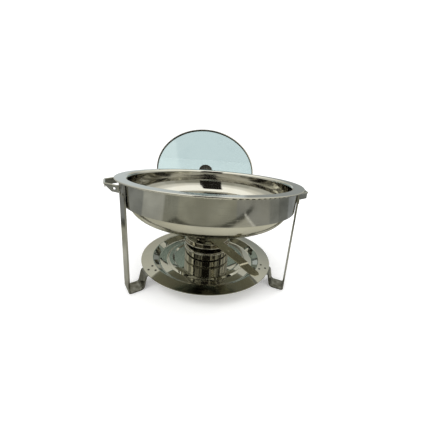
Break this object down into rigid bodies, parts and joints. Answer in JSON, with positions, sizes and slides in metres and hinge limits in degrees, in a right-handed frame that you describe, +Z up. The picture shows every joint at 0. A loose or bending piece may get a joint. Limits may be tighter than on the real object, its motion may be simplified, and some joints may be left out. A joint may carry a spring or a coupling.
{
  "type": "round chafer",
  "caption": "Round stainless chafing dish on a low three-legged stand, with a burner below and its glass lid standing in a rack behind.",
  "frame": {"origin": "on the table, under the middle of the outline", "axes": "+X to the right, +Y to the back where the lid stands, +Z up"},
  "size_m": [0.4298, 0.6109, 0.3451],
  "materials": {
    "pan_steel": "bright satin stainless steel",
    "stand_steel": "satin stainless steel",
    "plate_steel": "mirror-polished stainless steel",
    "rivet_steel": "polished steel",
    "rack_wire": "bright plated wire",
    "rack_rubber": "matt black rubber",
    "burner_steel": "polished stainless steel",
    "lever_steel": "satin steel, browned by heat",
    "lid_glass": "clear toughened glass",
    "rim_steel": "polished stainless steel",
    "knob_plastic": "black heat-proof plastic",
    "seal_rubber": "translucent silicone"
  },
  "bodies": {
    "stand": {"support_band": "stand_steel", "base_plate": "plate_steel", "leg_left": "stand_steel", "leg_right": "stand_steel", "leg_rear": "stand_steel", "leg_plate_rivets": "rivet_steel", "leg_band_rivets": "rivet_steel", "handle_left": "stand_steel", "handle_right": "stand_steel", "handle_rivets": "rivet_steel", "lid_rack_arms": "rack_wire", "lid_rack_crossbar": "rack_wire", "lid_rack_tips": "rack_rubber", "lid_rack_clips": "rack_wire", "rack_clip_rivets": "rivet_steel"},
    "water_pan_body": {"water_pan": "pan_steel"},
    "food_pan_body": {"food_pan": "pan_steel"},
    "lid": {"lid_glass": "lid_glass", "lid_rim": "rim_steel", "lid_knob": "knob_plastic", "knob_gaskets": "seal_rubber", "knob_washer": "rim_steel", "knob_screw": "rivet_steel"},
    "burner": {"burner_can": "burner_steel"},
    "burner_cap": {"burner_cover": "burner_steel", "damper_pivot": "rivet_steel"},
    "damper": {"damper_disc": "burner_steel", "damper_lever": "lever_steel", "lever_rivets": "rivet_steel"}
  },
  "joints": [
    {"name": "water_pan_lift", "type": "slide", "parent": "stand", "child": "water_pan_body", "axis": [0, 0, 1], "range_m": [0, 0.1]},
    {"name": "food_pan_lift", "type": "slide", "parent": "water_pan_body", "child": "food_pan_body", "axis": [0, 0, 1], "range_m": [0, 0.08]},
    {"name": "lid_lift", "type": "slide", "parent": "stand", "child": "lid", "axis": [0.0284, 0.6246, 0.7804], "range_m": [0, 0.2]},
    {"name": "burner_draw", "type": "slide", "parent": "stand", "child": "burner", "axis": [0, -0.9701, 0.2425], "range_m": [0, 0.25]},
    {"name": "burner_cover_lift", "type": "slide", "parent": "burner", "child": "burner_cap", "axis": [0, 0, 1], "range_m": [0, 0.04]},
    {"name": "damper_swivel", "type": "hinge", "parent": "burner_cap", "child": "damper", "pos_m": [0, -0.12045, 0.0768], "axis": [0, 0, 1], "range_deg": [-48, 0]}
  ]
}
